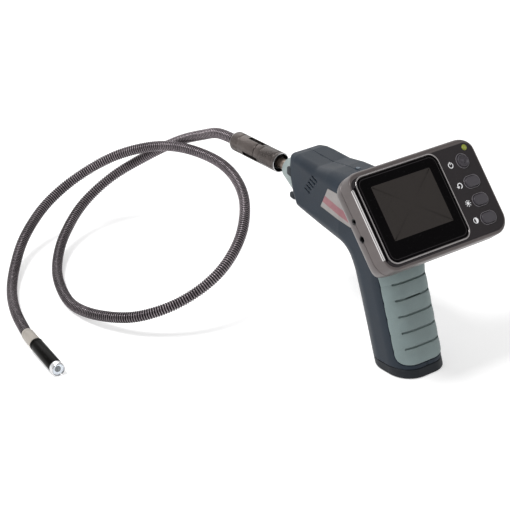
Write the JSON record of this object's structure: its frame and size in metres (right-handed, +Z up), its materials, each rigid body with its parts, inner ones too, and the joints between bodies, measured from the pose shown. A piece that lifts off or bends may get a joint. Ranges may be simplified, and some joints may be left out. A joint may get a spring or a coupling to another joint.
{
  "type": "inspection camera",
  "caption": "Pistol-grip inspection camera with a slide-off wireless monitor and a stiff gooseneck probe that ends in a small lit camera head.",
  "frame": {"origin": "centre of the grip's flat base, where the tool stands", "axes": "+Y from the grip to the nose, along the barrel; +X to the right of a person who looks at the screen; +Z up"},
  "size_m": [0.2461, 0.3361, 0.1444],
  "materials": {
    "handle_navy": "fine matte",
    "cone_grey": "satin",
    "pad_grey": "soft matte",
    "black_plastic": "matte",
    "gloss_black": "gloss",
    "housing_grey": "metallic paint, satin gloss",
    "bright_trim": "polished",
    "window_black": "mirror gloss",
    "screen_dark": "satin",
    "steel": "bright",
    "brass_contact": "bright",
    "board_green": "solder mask",
    "neck_skin": "satin, finely ribbed",
    "plug_brown": "satin anodised",
    "sleeve_beige": "satin",
    "head_black": "gloss black anodised",
    "clear_cover": "clear",
    "light_white": "diffuser",
    "light_blue": "clear",
    "light_green": "clear",
    "label_print": "printed film",
    "mark_white": "printed",
    "seal_black": "matte",
    "cell_wrap": "printed sleeve",
    "pot_blue": "moulded",
    "foil": "foil pouch"
  },
  "bodies": {
    "handle": {"left_shell": "handle_navy", "right_shell": "handle_navy", "nose_cone": "cone_grey", "cone_clips": "black_plastic", "nose_stub": "plug_brown", "stub_contacts": "brass_contact", "nose_seal": "seal_black", "grip_pad": "pad_grey", "side_label": "label_print", "power_light": "light_blue", "dock_plate": "black_plastic", "dock_screws": "steel", "shell_screws": "steel", "sender_board": "board_green", "sender_antenna": "brass_contact", "dimmer_pot": "pot_blue", "bay_contacts": "steel", "stub_cable": "seal_black", "connector_body": "plug_brown", "connector_pin": "brass_contact", "collar_clip": "steel", "gooseneck": "neck_skin", "head_sleeve": "sleeve_beige", "head_barrel": "head_black", "head_rim": "bright_trim", "head_window": "clear_cover", "led_board": "mark_white", "head_lights": "light_white", "camera_lens": "gloss_black", "image_sensor": "black_plastic", "head_board": "board_green"},
    "battery": {"base_cap": "handle_navy", "battery_tray": "black_plastic", "cell_1": "cell_wrap", "cell_2": "cell_wrap", "cell_3": "cell_wrap", "cell_4": "cell_wrap", "tray_contacts": "steel", "cap_gasket": "seal_black"},
    "monitor": {"monitor_bezel": "housing_grey", "monitor_back": "housing_grey", "window_glass": "window_black", "window_frame": "bright_trim", "edge_strip": "bright_trim", "screen_panel": "screen_dark", "panel_frame": "steel", "main_board": "board_green", "monitor_cell": "foil", "av_jack": "black_plastic", "dc_jack": "black_plastic", "status_light": "light_green", "button_mat": "seal_black", "monitor_screws": "steel", "button_marks": "mark_white"},
    "collar": {"coupling_collar": "plug_brown"},
    "dimmer": {"dimmer_wheel": "black_plastic"},
    "power_key": {"power_button": "gloss_black"},
    "rotate_key": {"rotate_button": "gloss_black"},
    "brightness_key": {"brightness_button": "gloss_black"},
    "contrast_key": {"contrast_button": "gloss_black"}
  },
  "joints": [
    {"name": "monitor_slide", "type": "slide", "parent": "handle", "child": "monitor", "axis": [0, 0.6528, 0.7576], "range_m": [0, 0.043]},
    {"name": "tray_slide", "type": "slide", "parent": "handle", "child": "battery", "axis": [0, -0.342, -0.9397], "range_m": [0, 0.065]},
    {"name": "collar_turn", "type": "hinge", "parent": "handle", "child": "collar", "pos_m": [0, 0.146, 0.0964], "axis": [0, 1, 0], "range_deg": [0, 360]},
    {"name": "dimmer_turn", "type": "hinge", "parent": "handle", "child": "dimmer", "pos_m": [0.0104, 0.08, 0.1], "axis": [0, 0, 1], "range_deg": [0, 270]},
    {"name": "power_press", "type": "slide", "parent": "monitor", "child": "power_key", "axis": [0, 0.7576, -0.6528], "range_m": [0, 0.0008], "stiffness_N_per_m": 800, "springref_m": -0.0004},
    {"name": "rotate_press", "type": "slide", "parent": "monitor", "child": "rotate_key", "axis": [0, 0.7576, -0.6528], "range_m": [0, 0.0008], "stiffness_N_per_m": 800, "springref_m": -0.0004},
    {"name": "brightness_press", "type": "slide", "parent": "monitor", "child": "brightness_key", "axis": [0, 0.7576, -0.6528], "range_m": [0, 0.0008], "stiffness_N_per_m": 800, "springref_m": -0.0004},
    {"name": "contrast_press", "type": "slide", "parent": "monitor", "child": "contrast_key", "axis": [0, 0.7576, -0.6528], "range_m": [0, 0.0008], "stiffness_N_per_m": 800, "springref_m": -0.0004}
  ]
}
